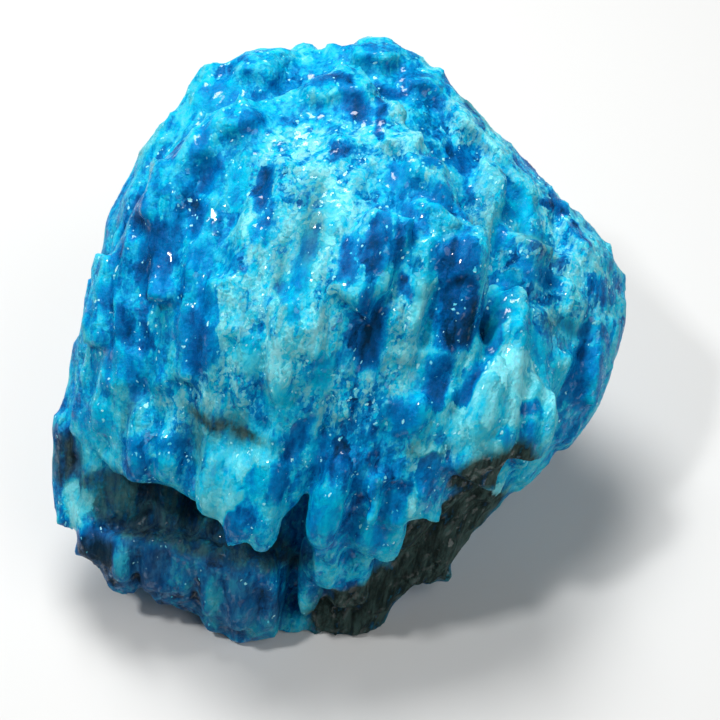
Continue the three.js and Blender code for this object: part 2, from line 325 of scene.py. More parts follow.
# Single crystals and breaks, set into them: then how light, and how far it stands out. The form
# height of the settings turns that into millimetres.
FORMS = [
    ((155, 258), (20, 42), 2, 0.28, -0.6),
    ((121, 326), (13, 21), 0, 0.15, -0.7),
    ((146, 338), (10, 15), 0, 0.22, -0.5),
    ((193, 340), (20, 33), 0, 0.3, 0.5),
    ((118, 368), (25, 21), 0, 0.42, 0.9),
    ((211, 178), (14, 23), 0, 0.33, -0.6),
    ((195, 222), (11, 21), 10, 0.27, -0.4),
    ((138, 208), (10, 29), 3, 0.3, 0.2),
    ((222, 98), (24, 24), 0, 0.53, 0.8),
    ((201, 138), (9, 24), 5, 0.4, 0.3),
    # A dark pocket, darker also as painted shade.
    ((267, 190), (13, 27), 5, 0.25, -0.6),
    ((95, 422), (15, 21), 0, 0.46, 0.6),
    ((196, 264), (20, 24), 0, 0.42, 0.5),
    ((107, 290), (12, 13), 0, 0.36, 0.2),
    ((206, 302), (17, 18), 0, 0.43, 0.3),
    ((262, 232), (11, 17), 0, 0.38, -0.4),
    ((248, 120), (11, 9), -30, 0.2, 0.2),
    ((376, 245), (13, 35), 5, 0.22, -0.4),
    # A dark pocket, darker also as painted shade.
    ((371, 338), (14, 39), 5, 0.24, -0.4),
    ((352, 262), (10, 27), 3, 0.28, 0.2),
    ((411, 226), (10, 21), 0, 0.32, 0.2),
    ((401, 176), (15, 15), 0, 0.46, 0.4),
    ((437, 195), (13, 15), 0, 0.3, 0.3),
    ((398, 240), (8, 18), 0, 0.2, -0.7),
    # The hollow at the end of the main block: deep blue crystal, and darker still as painted shade
    # of the cleft.
    ((458, 314), (21, 42), 8, 0.08, -0.6),
    ((460, 262), (22, 26), 8, 0.2, 1),
    ((440, 385), (14, 29), 12, 0.31, -0.2),
    ((405, 412), (25, 22), 0, 0.43, 0.9),
    ((404, 282), (6, 15), 0, 0.06, -0.5),
    ((236, 184), (9, 30), 4, 0.62, 0.3),
    ((306, 262), (10, 34), 4, 0.5, -0.2),
    ((330, 215), (11, 30), 4, 0.78, 0.3),
    ((290, 300), (9, 22), 2, 0.55, -0.2),
    ((246, 350), (12, 20), 6, 0.66, 0.2),
    ((318, 372), (12, 18), 6, 0.5, 0.2),
    ((282, 395), (14, 12), 0, 0.52, 0.2),
    ((420, 300), (6, 30), 6, 0.74, 0.2),
    ((436, 255), (6, 26), 10, 0.42, 0.2),
    ((520, 318), (10, 16), 20, 0.6, 0.3),
    ((507, 302), (14, 20), 0, 0.42, 0),
    ((357, 104), (13, 27), -22, 0.26, 0),
    ((379, 116), (7, 23), -3, 0.1, -0.3),
    ((340, 152), (10, 10), 0, 0.08, 0),
    ((372, 56), (13, 7), 0, 0.36, 0),
    ((392, 95), (18, 10), 0, 0.2, -0.4),
    ((328, 80), (16, 10), 0, 0.24, 0),
    ((463, 158), (14, 15), 0, 0.24, -0.5),
    ((433, 161), (14, 14), 0, 0.34, 0.2),
    ((516, 203), (19, 22), 0, 0.55, 0.4),
    ((504, 232), (12, 14), 0, 0.5, 0.3),
    ((570, 216), (10, 38), -53, 0, -0.3),
    ((540, 276), (9, 34), -60, 0.42, -0.5),
    ((577, 330), (11, 20), -80, 0.56, -0.5),
    ((533, 232), (9, 16), -60, 0.58, -0.2),
    ((600, 292), (13, 20), -20, 0.3, 0),
    ((588, 378), (24, 34), 10, 0.4, 0.3),
    ((500, 284), (16, 15), -30, 0.55, 0),
    ((489, 333), (12, 24), 28, 0.44, 0.4),
    ((504, 335), (5, 25), 30, 0.95, 0.2),
    ((470, 381), (10, 30), 25, 0.38, 0.5),
    ((540, 358), (12, 28), -40, 0.6, 0.2),
    ((531, 410), (18, 12), 0, 0.4, 0.1),
    ((488, 402), (20, 34), 28, 0.8, 0.9),
    ((517, 374), (20, 13), -20, 0.95, 0.5),
    ((504, 438), (12, 13), 0, 0.46, 0.4),
    ((532, 438), (10, 17), 20, 0.44, 0.4),
    ((516, 412), (6, 16), 10, 0.95, 0.4),
    ((478, 430), (8, 14), 10, 0.62, 0.3),
    ((431, 446), (14, 5), -5, 0.85, 0.2),
    ((499, 487), (9, 7), 0, 0.9, 0.3),
    ((411, 506), (7, 9), 0, 1, 0.3),
    ((536, 392), (8, 12), 30, 0.7, 0.3),
    ((432, 472), (13, 27), 8, 0.3, 0.3),
    ((387, 522), (21, 34), 8, 0.52, 0.6),
    ((323, 512), (25, 27), 10, 0.44, 0.5),
    ((340, 456), (12, 19), 0, 0.1, 0.2),
    ((316, 450), (9, 17), 10, 0.32, 0.3),
    ((298, 440), (8, 32), 22, 0.34, -0.8),
    ((176, 449), (13, 11), 0, 0.43, 0.2),
    ((138, 464), (21, 22), 10, 0.22, 0.4),
    ((166, 472), (13, 13), 0, 0.47, 0.4),
    ((226, 482), (23, 36), 22, 0.8, 0.7),
    ((253, 480), (13, 17), 0, 0.45, 0.3),
    ((241, 521), (18, 21), 10, 0.18, 0.2),
    ((276, 481), (14, 21), 5, 0.38, 0.3),
    ((128, 560), (11, 15), 0, 0.42, 0.6),
    ((156, 570), (14, 27), 8, 0.14, 0),
    ((240, 602), (22, 26), 10, 0.34, 0.5),
    ((212, 602), (9, 30), 12, 0.56, 0.4),
    ((98, 552), (20, 20), 0, 0.05, 0),
    ((90, 502), (12, 14), 0, 0.8, 0),
    ((74, 505), (11, 22), 0, 1.05, 0.2),
    ((261, 630), (15, 12), 0, 0.5, 0.3),
]

# Dull mineral fill, partly painted shade: then how much of it there is. Besides the real dull
# matrix, it darkens the shadowed recess under the lower ledge, the shade under the small ledge
# across the broad face and the down-facing lower right.
EARTH_AND_SHADE = [
    ((180, 592), (110, 40), 18, 0.42),
    # This row and the next three lie in the shadowed recess under the lower ledge: dull fill, and
    # painted shade.
    ((164, 508), (92, 36), 14, 0.8),
    ((76, 470), (12, 26), 10, 0.6),
    ((63, 462), (14, 28), 0, 0.85),
    ((245, 548), (60, 18), 12, 0.8),
    # Painted shadow under the small ledge across the broad face.
    ((228, 426), (7, 36), -68, 0.9),
    ((203, 440), (14, 26), 0, 0.45),
    ((130, 410), (12, 14), 0, 0.5),
    ((428, 447), (28, 6), -4, 0.6),
    ((310, 215), (12, 45), 5, 0.45),
    ((283, 265), (7, 30), 5, 0.5),
    # This row and the next two: the dull matrix of the down-facing lower right, darker also as
    # painted shade.
    ((497, 474), (44, 22), -14, 1.1),
    ((448, 535), (46, 68), 40, 1.25),
    ((385, 606), (72, 40), -15, 1.25),
    ((545, 250), (9, 26), -50, 0.5),
    ((560, 325), (10, 26), -70, 0.5),
]
SQUARENESS = 2.5  # 2 makes ovals, and more makes them squarer
PROBE_REACH = 0.4  # how far out in an oval the surface is probed for its height
PROBES = ((0, 0), (1, 0), (-1, 0), (0, 1), (0, -1))
NO_RADIUS = 0.01  # the least radius that is divided by
REGION_EDGE = 0.35  # half the width of a region's soft edge, against its smaller half side
ALONG_GRAIN = 0.5  # how often an edge wanders along the grain, against across it

# All in millimetres.
FORM_DEPTH = (7.0, 11.0)  # a form fades out this far in front of or behind its middle
FADED_OUT = 9.0  # how far outside a form the surface then counts as
EARTH_AND_SHADE_EDGE = (-2.0, 1.5)  # the fill fades in from this far outside its oval to this far inside
RAGGED = (  # how often to the millimetre an edge wanders, and how far
    (0.2, 1.5),
    (0.6, 0.7),
    (1.4, 0.3),
)
NOISE_SEED = 4

# What the skin is where no form reaches.
PLAIN = {
    "light": 0.52, "sugary": 0.25, "earthy": 0.0, "depth": -3.0, "form_light": 0.4, "rise": 0.0,
}


def smooth_step(low, high, value):
    share = np.clip((value - low) / (high - low), 0.0, 1.0)
    return share * share * (3.0 - 2.0 * share)


def depth_in(places, middle, half, lean):
    """How far inside a form each place is, in millimetres. It is below 0 outside the form."""
    dx, dy, dz = (places - np.array(middle)).T
    turn = math.radians(lean)
    across = dx * math.cos(turn) - dy * math.sin(turn)
    along = dx * math.sin(turn) + dy * math.cos(turn)
    radii = np.abs(across / half[0]) ** SQUARENESS + np.abs(along / half[1]) ** SQUARENESS
    radii = np.maximum(radii ** (1 / SQUARENESS), NO_RADIUS)
    depth = (1.0 - radii) * np.maximum(np.hypot(across, along), NO_RADIUS) / radii
    return depth - FADED_OUT * smooth_step(*FORM_DEPTH, np.abs(dz))


def lump_surface():
    """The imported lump, in its own frame and in millimetres, as something that rays can meet."""
    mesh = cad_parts["blue_apatite_crystal"].data
    to_lump = LUMP_TO_FRAME.inverted()
    points = [to_lump @ vert.co / MM for vert in mesh.vertices]
    return BVHTree.FromPolygons(points, [tuple(face.vertices) for face in mesh.polygons])


def oval_on(surface, seen_middle, seen_half):
    """An oval of the view, as its middle and its half sides on the surface, in millimetres."""
    eye = Vector((*VIEW_MIDDLE, CAMERA_DISTANCE))
    heights = []
    for across, down in PROBES:
        x = seen_middle[0] + across * seen_half[0] * PROBE_REACH - VIEW_SIZE / 2
        y = VIEW_SIZE / 2 - seen_middle[1] - down * seen_half[1] * PROBE_REACH
        ray = Vector((x * VIEW_STEP, y * VIEW_STEP, -CAMERA_DISTANCE))
        met = surface.ray_cast(eye, ray.normalized())[0]
        if met is not None:
            heights.append(met.z)
    height = sorted(heights)[len(heights) // 2]
    step = VIEW_STEP * (CAMERA_DISTANCE - height) / CAMERA_DISTANCE
    x = VIEW_MIDDLE[0] + (seen_middle[0] - VIEW_SIZE / 2) * step
    y = VIEW_MIDDLE[1] + (VIEW_SIZE / 2 - seen_middle[1]) * step
    return (x, y, height), (seen_half[0] * step, seen_half[1] * step)


def mark_forms(mesh):
    """Stores on a mesh what the forms of the broad face make of each of its points."""
    noise.seed_set(NOISE_SEED)
    surface = lump_surface()
    count = len(mesh.vertices)
    points = np.empty(count * 3, np.float32)
    mesh.vertices.foreach_get("co", points)
    axes = np.array([LUMP_AXES[name] for name in "xyz"])
    places = (points.reshape(-1, 3) - np.array(LUMP_MIDDLE)) / MM @ axes.T
    ragged = places.copy()
    for often, far in RAGGED:
        step = (often, often * ALONG_GRAIN, often)
        wander = np.array([noise.noise_vector(Vector(spot)) for spot in places * step])
        ragged += wander * (far, far, 0.0)

    marks = {name: np.full(count, value) for name, value in PLAIN.items()}
    for seen_middle, seen_half, lean, light, sugary in REGIONS:
        middle, half = oval_on(surface, seen_middle, seen_half)
        reach = min(half) * REGION_EDGE
        inside = smooth_step(-reach, reach, depth_in(ragged, middle, half, lean))
        marks["light"] += (light - marks["light"]) * inside
        marks["sugary"] += (sugary - marks["sugary"]) * inside
    for seen_middle, seen_half, lean, light, rise in FORMS:
        middle, half = oval_on(surface, seen_middle, seen_half)
        depth = depth_in(ragged, middle, half, lean)
        deeper = depth > marks["depth"]
        marks["depth"][deeper] = depth[deeper]
        marks["form_light"][deeper] = light
        marks["rise"][deeper] = rise
    # The dull fill, also painted shade in the recess, under the small ledge and on the lower right.
    for seen_middle, seen_half, lean, amount in EARTH_AND_SHADE:
        middle, half = oval_on(surface, seen_middle, seen_half)
        inside = smooth_step(*EARTH_AND_SHADE_EDGE, depth_in(ragged, middle, half, lean))
        marks["earthy"] = np.maximum(marks["earthy"], amount * inside)
    for name, values in marks.items():
        mark = mesh.attributes.new(name, "FLOAT", "POINT")
        mark.data.foreach_set("value", values.astype(np.float32))


# ---------------------------------------------------------------- settings


class LumpSettings(bpy.types.PropertyGroup):
    """Sizes of the crystals that dress the lump."""

    grain_tilt: FloatProperty(
        name="Grain tilt",
        description="How far the crystals lean to the right at the middle of the broad face",
        default=math.radians(10),
        subtype="ANGLE",
    )
    grain_fan: FloatProperty(
        name="Grain fan",
        description="How much more they lean for each millimetre to the right, in radians",
        default=math.radians(0.22),
    )
    unevenness: FloatProperty(
        name="Unevenness",
        description="How far a crystal strays from the grain",
        default=math.radians(7),
        subtype="ANGLE",
    )
    voxel: FloatProperty(
        name="Crystal detail",
        description="The size of the smallest form of the skin before its relief is cut",
        default=0.5 * MM,
        unit="LENGTH",
    )
    skin: FloatProperty(
        name="Skin detail",
        description="The size of the smallest form of the finished skin",
        default=0.55 * MM,
        unit="LENGTH",
    )
    rounding: IntProperty(
        name="Rounding",
        description="How many times the skin is smoothed before its relief is cut",
        default=1,
        min=0,
    )
    form: FloatProperty(
        name="Form height",
        description="How many millimetres a form stands out for each 1 in the list",
        default=0.6,
    )
    slab: FloatProperty(
        name="Slab height",
        description="How much neighbouring slabs of crystal differ in height",
        default=0.35 * MM,
        unit="LENGTH",
    )
    facet: FloatProperty(
        name="Facet height",
        description="How much neighbouring facets differ in height",
        default=0.35 * MM,
        unit="LENGTH",
    )
    grain: FloatProperty(
        name="Grain height",
        description="How far the sugary grains stand out",
        default=0.18 * MM,
        unit="LENGTH",
    )
    seed: IntProperty(name="Seed", description="Another number grows other crystals", default=7)


class ColourSettings(bpy.types.PropertyGroup):
    """Colours of the apatite."""

    deep: FloatVectorProperty(
        name="Deep blue", description="Thick clear crystal", subtype="COLOR", size=3,
        default=(0.0, 0.09, 0.3),
    )
    blue: FloatVectorProperty(
        name="Blue", description="Most of the crystal", subtype="COLOR", size=3,
        default=(0.0, 0.225, 0.54),
    )
    cyan: FloatVectorProperty(
        name="Cyan", description="Thin and fractured crystal", subtype="COLOR", size=3,
        default=(0.0, 0.485, 0.72),
    )
    pale: FloatVectorProperty(
        name="Pale", description="Sugary grains and healed cracks", subtype="COLOR", size=3,
        default=(0.07, 0.56, 0.68),
    )
    # The dull fill is also painted shade in the recess, under the small ledge and on the lower
    # right.
    earth: FloatVectorProperty(
        name="Earth", description="The dull fill of the hollows", subtype="COLOR", size=3,
        default=(0.048, 0.085, 0.078),
    )


class StudioSettings(bpy.types.PropertyGroup):
    """The floor and the camera."""

    floor_colour: FloatVectorProperty(
        name="Floor", description="Colour of the plain floor", subtype="COLOR", size=3,
        default=(0.66, 0.66, 0.65),
    )
    camera_distance: FloatProperty(
        name="Camera distance",
        description="From the camera to the middle of the lump",
        default=CAMERA_DISTANCE * MM,
        unit="LENGTH",
    )
    view_width: FloatProperty(
        name="View width",
        description="How wide the view is at the middle of the lump",
        default=VIEW_WIDTH * MM,
        unit="LENGTH",
    )


# ---------------------------------------------------------------- the crystals

# Layers of small prisms that grow over the lump, largest first: the gap between neighbours, the
# least and most half width and length, and how far they stand out, all in millimetres.
CRYSTAL_LAYERS = [
    {"gap": 4.6, "radius": (1.2, 2.2), "length": (5.0, 10.0), "rise": (-0.6, 0.4)},
    {"gap": 2.7, "radius": (0.6, 1.0), "length": (3.0, 6.5), "rise": (-0.4, 0.3)},
]
MOST_OVERHANG = 0.6  # how far the end of a prism may hang outside the lump, in millimetres
CRYSTAL_DEPTH = 0.75  # depth into the lump against half width
PRISM_SIDES = 6
PRISM_TAPER = 0.68  # its width at the top against its foot
MOST_PRISMS = 4e6  # to the square metre, before those too close to a neighbour are dropped
LAID_DOWN = 0.7  # how much of the grain that points out of the surface is taken off a prism
SEED_STEP = 101  # between the seeds of two layers

# Rounded crystals that are set into the lump one by one: the upper and the lower end in the lump's
# frame, and the half width, in millimetres.
ROUNDED = [
    ((3.9, -24.0, 12.0), (3.0, -33.5, 4.0), 1.6),
    ((0.2, -20.0, 15.0), (-1.6, -32.5, 7.0), 2.5),
    ((-3.0, -25.0, 8.5), (-4.3, -37.0, 2.5), 1.9),
    ((7.8, -16.0, 16.0), (6.4, -28.5, 9.5), 2.9),
    ((1.0, -14.0, 18.5), (-2.2, -26.5, 16.0), 2.8),
    ((5.0, -17.0, 19.0), (4.4, -23.0, 18.2), 1.1),
    ((2.5, -22.0, 9.0), (1.0, -35.0, 2.0), 4.0),
    ((-28.2, -26.5, 5.5), (-28.6, -32.0, 5.0), 1.7),
    ((18.0, 14.0, 16.8), (12.6, -6.5, 17.0), 3.6),
    ((17.6, 2.0, 15.5), (14.4, -9.5, 16.5), 2.2),
    ((-11.0, -14.0, 16.5), (-12.2, -25.6, 15.3), 3.2),
    ((-7.6, -13.0, 17.6), (-9.2, -26.4, 15.6), 2.8),
    ((-33.2, -20.5, 2.2), (-32.4, -29.4, 2.8), 2.7),
    ((-31.2, -10.0, 3.2), (-31.8, -24.0, 1.0), 3.7),
    ((-27.2, -11.0, 1.6), (-27.8, -25.0, 1.4), 3.9),
    ((-21.5, -10.0, 2.6), (-22.3, -25.0, 2.4), 3.4),
    ((-14.8, -12.0, 16.5), (-16.0, -22.5, 15.0), 2.6),
    ((-24.0, -8.0, 12.0), (-25.0, -17.5, 11.3), 2.6),
    ((-20.6, -9.0, 14.3), (-21.4, -18.8, 13.0), 1.9),
    ((-29.3, -3.0, 9.0), (-30.4, -12.5, 7.5), 2.2),
    ((-7.0, -10.0, 19.0), (-7.8, -20.5, 17.8), 1.9),
    ((-12.4, -27.3, 7.2), (-13.0, -38.4, 2.6), 2.3),
    ((-16.5, -26.2, 7.6), (-17.0, -36.6, 3.2), 1.6),
    ((-20.3, -25.6, 7.0), (-21.0, -34.4, 2.8), 1.8),
    ((-23.8, -24.8, 6.4), (-24.6, -33.2, 3.8), 1.9),
    ((-8.9, -28.2, 7.2), (-8.7, -38.8, 1.6), 1.7),
    ((-6.2, 4.0, 22.6), (-6.8, -8.2, 20.4), 2.4),
    ((-3.4, 4.0, 22.9), (-3.9, -6.2, 20.6), 2.2),
    ((-10.5, 3.0, 19.9), (-11.2, -9.6, 18.5), 2.3),
    ((-14.2, 4.0, 19.6), (-14.9, -7.4, 18.2), 2.0),
    ((-1.6, 5.0, 22.2), (-2.0, -4.6, 21.0), 1.6),
    ((21.0, 7.0, 8.6), (17.0, -5.0, 10.4), 2.3),
    ((22.2, 6.2, 10.4), (18.8, -4.4, 13.6), 1.9),
    ((24.2, 6.8, 9.8), (22.6, -1.0, 14.4), 1.7),
    ((17.4, -0.5, 9.6), (15.4, -9.0, 11.6), 1.5),
    ((20.4, -2.4, 16.4), (17.2, -13.2, 18.1), 2.1),
    ((22.8, -4.6, 15.0), (20.8, -14.8, 16.8), 1.6),
    ((25.4, -4.6, 13.0), (23.9, -15.0, 14.5), 1.5),
    ((27.6, -6.0, 12.6), (26.8, -14.2, 13.8), 1.2),
    ((23.6, 1.2, 14.3), (21.4, -6.6, 15.7), 1.4),
    ((16.6, -5.6, 16.6), (15.0, -14.0, 18.0), 1.2),
]
BLUNTNESS = 2.8  # 2 ends them in ovals, and more ends them blunter
SAME_PLACE = 1e-6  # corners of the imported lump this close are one


def lump_with_crystals():
    """The lump as one merged mesh, with the rounded crystals set into it."""
    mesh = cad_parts["blue_apatite_crystal"].data.copy()
    whole = bmesh.new()
    whole.from_mesh(mesh)
    bmesh.ops.remove_doubles(whole, verts=whole.verts, dist=SAME_PLACE)
    for start, end, radius in ROUNDED:
        start, end = Vector(start) * MM, Vector(end) * MM
        axis = end - start
        made = bmesh.ops.create_icosphere(whole, subdivisions=3, radius=1.0)["verts"]
        for vert in made:
            vert.co /= sum(abs(part) ** BLUNTNESS for part in vert.co) ** (1 / BLUNTNESS)
        shape = Matrix.Diagonal((radius * MM, radius * MM * CRYSTAL_DEPTH, axis.length / 2, 1))
        turn = axis.to_track_quat("Z", "X").to_matrix().to_4x4()
        middle = Matrix.Translation((start + end) / 2)
        bmesh.ops.transform(whole, matrix=LUMP_TO_FRAME @ middle @ turn @ shape, verts=made)
    mesh.clear_geometry()
    whole.to_mesh(mesh)
    whole.free()
    return mesh


def crystal_shape(sheet):
    """A tapered six-sided prism, one unit long and two across."""
    cone = sheet.node("GeometryNodeMeshCone", {}, PRISM_SIDES, 1, 1, PRISM_TAPER, 1.0, 1.0)[0]
    return sheet.node("GeometryNodeTransform", {}, cone, Translation=(0, 0, -0.5))[0]


def end_is_held(sheet, body, half_axis, radius):
    """1 where the end of a crystal lies within the lump or close over it, clear of the floor."""
    end = sheet.node("GeometryNodeInputPosition")[0] + half_axis

    def nearest(kind):
        value = sheet.node(kind)[0]
        settings = {"data_type": "FLOAT_VECTOR"}
        return sheet.node(
            "GeometryNodeSampleNearestSurface", settings, body, value, Sample_Position=end
        )[0]

    over = (end - nearest("GeometryNodeInputPosition")).dot(nearest("GeometryNodeInputNormal"))
    close = sheet.node("ShaderNodeMath", {"operation": "LESS_THAN"}, over, MOST_OVERHANG * MM)[0]
    clear = sheet.node("ShaderNodeMath", {"operation": "LESS_THAN"}, radius, end.parts()[2])[0]
    return close * clear


def grow_layer(sheet, body, number, layer, settings):
    """One layer of crystals on the body's surface, laid along the grain."""
    seed = sheet.given["Seed"] + number * SEED_STEP
    spread = sheet.node(
        "GeometryNodeDistributePointsOnFaces", {"distribute_method": "POISSON"}, body,
        Distance_Min=layer["gap"] * MM, Density_Max=MOST_PRISMS, Seed=seed,
    )
    outward = spread["Normal"]
    position = sheet.node("GeometryNodeInputPosition")[0]
    across, _, _ = lump_place(sheet, position).parts()
    stray = sheet.given["Unevenness"]
    lean = across * settings.grain_fan + settings.grain_tilt
    lean = lean + stray * sheet.random(-1.0, 1.0, seed + 1)
    nod = stray * sheet.random(-1.0, 1.0, seed + 2)
    sine = sheet.node("ShaderNodeMath", {"operation": "SINE"}, lean)[0]
    cosine = sheet.node("ShaderNodeMath", {"operation": "COSINE"}, lean)[0]
    grain = lump_direction(sheet, sine, cosine, nod).unit()
    axis = (grain - outward * (grain.dot(outward) * LAID_DOWN)).unit()
    turned = sheet.node(
        "FunctionNodeAxesToRotation", {"primary_axis": "Z", "secondary_axis": "X"}, axis, outward
    )[0]
    radius = sheet.random(*layer["radius"], seed + 3) * MM
    length = sheet.random(*layer["length"], seed + 4) * MM
    rise = sheet.random(*layer["rise"], seed + 5) * MM
    on_end = axis.dot(outward)
    on_side = (1 - on_end * on_end).at_least(0.0).root()
    reach = length * 0.5 * on_end.at_least(-on_end) + radius * CRYSTAL_DEPTH * on_side
    sunk = sheet.node(
        "GeometryNodeSetPosition", {}, spread["Points"], Offset=outward * (rise - reach)
    )[0]
    held = end_is_held(sheet, body, axis * (length * 0.5), radius)
    held = held * end_is_held(sheet, body, axis * (length * -0.5), radius)
    crystals = sheet.node(
        "GeometryNodeInstanceOnPoints", {}, sunk, Selection=held,
        Instance=crystal_shape(sheet), Rotation=turned,
        Scale=sheet.join(radius * CRYSTAL_DEPTH, radius, length),
    )[0]
    return sheet.attribute(crystals, "tone", sheet.random(0.0, 1.0, seed + 7), domain="INSTANCE")


def crystal_growth(settings):
    """The tree that covers a body with layers of crystals."""
    sheet = GeometrySheet("Crystal growth", {"Unevenness": "Float", "Seed": "Int"})
    body = sheet.given["Geometry"]
    grown = [grow_layer(sheet, body, *layer, settings) for layer in enumerate(CRYSTAL_LAYERS)]
    body = sheet.attribute(body, "tone", 0.5)
    joined = sheet.node("GeometryNodeJoinGeometry", {}, [body, *grown])
    sheet.finish(joined[0], None)
    return sheet


# ---------------------------------------------------------------- the relief

# The size of one across the grain, along it and outwards, in millimetres, and how soft its
# edges are.
SLABS = ((5.5, 15.0, 5.5), 0.12)
FACETS = ((2.6, 9.0, 2.6), 0.08)
GRAINS = ((1.5, 1.9, 1.5), 0.1)
STEP, SLANT = 0.6, 2.2  # how much a face's height and its slant count

LENSES = (0.2, 0.085, 0.2)  # the strewn forms, as how many there are to the millimetre
FRONT = (-6.0, 0.0)  # from the back to the broad face, in millimetres out from the lump's middle
PROUD, STANDS = 6, 50  # how many rounds of smoothing a point is held against, to see it stand out

# What the material reads from the skin, beside the vector "grain".
MARKS = (
    "light", "sugary", "earthy", "depth", "form_light", "tone", "slab_tone", "facet_tone",
    "proud", "stands",
)


def facets(sheet, place, size, softness):
    """Flat faces of a size, each at its own height and slant, and a number that each has."""
    scaled = place * tuple(1 / side for side in size)
    made = sheet.node(
        "ShaderNodeTexVoronoi", {"feature": "SMOOTH_F1"}, scaled, Scale=1.0, Smoothness=softness
    )
    slant = made["Color"] - 0.5
    height, tone, _ = made["Color"].parts()
    return (height - 0.5) * STEP + (scaled - made["Position"]).dot(slant) * SLANT, tone


def surroundings(sheet, settings):
    """What lies at each point of the skin: forms on the broad face, and others strewn elsewhere."""
    position = sheet.node("GeometryNodeInputPosition")[0]
    place = lump_place(sheet, position)
    grain = grain_place(sheet, place, settings.grain_tilt, settings.grain_fan)
    _, _, out = place.parts()
    front = out.between(*FRONT)
    wander = (sheet.node("ShaderNodeTexNoise", {}, place, Scale=0.16)["Color"] - 0.5) * 2.4
    flow = grain + wander

    lens = flow * LENSES
    edge = sheet.cells(lens, "DISTANCE_TO_EDGE")[0]
    pick, shade, _ = sheet.cells(lens)["Color"].parts()
    sugar = sheet.noise(place + (31.0, 7.0, 0.0), 0.085, 3.0, 0.55).between(0.44, 0.6)
    strewn = {
        "depth": (edge - 0.07) * 5.0 - pick.between(0.4, 0.41) * 6.0,
        "form_light": shade * 0.32 + 0.18,
        "light": sugar * 0.14 + 0.5,
        "sugary": sugar * 0.9,
        "earthy": sheet.noise(place + (83.0, 5.0, 0.0), 0.07, 4.0, 0.6).between(0.6, 0.7) * 0.8,
        "rise": shade * 1.2 - 0.8,
    }
    found = {"position": position, "place": place, "grain": grain, "flow": flow, "wander": wander}
    for name, value in strewn.items():
        found[name] = sheet.mix(front, value, sheet.stored(name))
    return found


def crystal_relief(settings):
    """The tree that cuts slabs, facets and grains into the skin."""
    sheet = GeometrySheet(
        "Crystal relief", {"Form": "Float", "Slab": "Float", "Facet": "Float", "Grain": "Float"}
    )
    here = surroundings(sheet, settings)
    sugary = here["sugary"]
    clear = here["depth"].between(-0.2, 0.5)
    grains = facets(sheet, here["place"] + here["wander"] * 0.4, *GRAINS)[0]
    height = facets(sheet, here["flow"], *SLABS)[0] * (1 - clear * 0.4) * sheet.given["Slab"]
    height = height + here["rise"] * here["depth"].between(-0.4, 0.6) * sheet.given["Form"]
    facet = facets(sheet, here["flow"], *FACETS)[0] * (1 - sugary * 0.4) * (1 - clear * 0.5)
    height = height + facet * sheet.given["Facet"]
    height = height + grains * (sugary * 0.85 + 0.15) * (1 - clear) * sheet.given["Grain"]
    normal = sheet.node("GeometryNodeInputNormal")[0]
    moved = sheet.node(
        "GeometryNodeSetPosition", {}, sheet.given["Geometry"], Offset=normal * height
    )[0]
    sheet.finish(moved, None)
    return sheet


def crystal_marks(settings):
    """The tree that stores on the finished skin what the material reads."""
    sheet = GeometrySheet("Crystal marks", {"Crystals": "Object", "Material": "Material"})
    here = surroundings(sheet, settings)
    crystals = sheet.node(
        "GeometryNodeObjectInfo", {"transform_space": "ORIGINAL"}, sheet.given["Crystals"]
    )
    here["tone"] = sheet.node(
        "GeometryNodeSampleNearestSurface", {"data_type": "FLOAT"}, crystals["Geometry"],
        sheet.stored("tone"), Sample_Position=here["position"],
    )[0]
    here["slab_tone"] = facets(sheet, here["flow"], *SLABS)[1]
    here["facet_tone"] = facets(sheet, here["flow"], *FACETS)[1]
    normal = sheet.node("GeometryNodeInputNormal")[0]
    # How far a point stands out of its smoothed surroundings. The material makes hollows darker and
    # proud points lighter by it, as painted shade and light.
    for name, rounds in (("proud", PROUD), ("stands", STANDS)):
        vector = {"data_type": "FLOAT_VECTOR"}
        smooth = sheet.node("GeometryNodeBlurAttribute", vector, here["position"], rounds)[0]
        here[name] = (here["position"] - smooth).dot(normal) * (1 / MM)

    stored = sheet.given["Geometry"]
    for name in MARKS:
        stored = sheet.attribute(stored, name, here[name])
    stored = sheet.attribute(stored, "grain", here["grain"], "FLOAT_VECTOR")
    x, y, z = here["position"].parts()
    level = sheet.join(x, y, z.at_least(0.0))
    grounded = sheet.node("GeometryNodeSetPosition", {}, stored, None, level)[0]
    rounded = sheet.node("GeometryNodeSetShadeSmooth", {}, grounded)[0]
    sheet.finish(rounded, sheet.given["Material"])
    return sheet


def one_skin(obj, voxel, rounding):
    """Merges a mesh into one closed skin, and drops the closed bubbles inside it."""
    remesh = obj.modifiers.new("One skin", "REMESH")
    remesh.mode = "VOXEL"
    remesh.voxel_size = voxel
    smooth = obj.modifiers.new("Rounding", "SMOOTH")
    smooth.factor = 0.5
    smooth.iterations = rounding
    obj.data = plain_mesh(obj)

    whole = bmesh.new()
    whole.from_mesh(obj.data)
    shell_of = {}
    shells = []
    for first in whole.verts:
        if first in shell_of:
            continue
        found = [first]
        shell_of[first] = len(shells)
        for vert in found:
            for edge in vert.link_edges:
                other = edge.other_vert(vert)
                if other not in shell_of:
                    shell_of[other] = len(shells)
                    found.append(other)
        shells.append(found)
    keep = max(shells, key=len)
    spare = [vert for shell in shells if shell is not keep for vert in shell]
    bmesh.ops.delete(whole, geom=spare, context="VERTS")
    whole.to_mesh(obj.data)
    whole.free()


# ---------------------------------------------------------------- the material

NAVY = (0.0, 0.026, 0.07)
ICE = (0.2, 0.77, 0.87)
ASH = (0.19, 0.43, 0.48, 1.0)
FROST = (0.27, 0.64, 0.68, 1.0)
# The dark side of the dull fill, which is also painted shade in the recess and under ledges.
DARK_FILL = (0.012, 0.022, 0.02, 1.0)
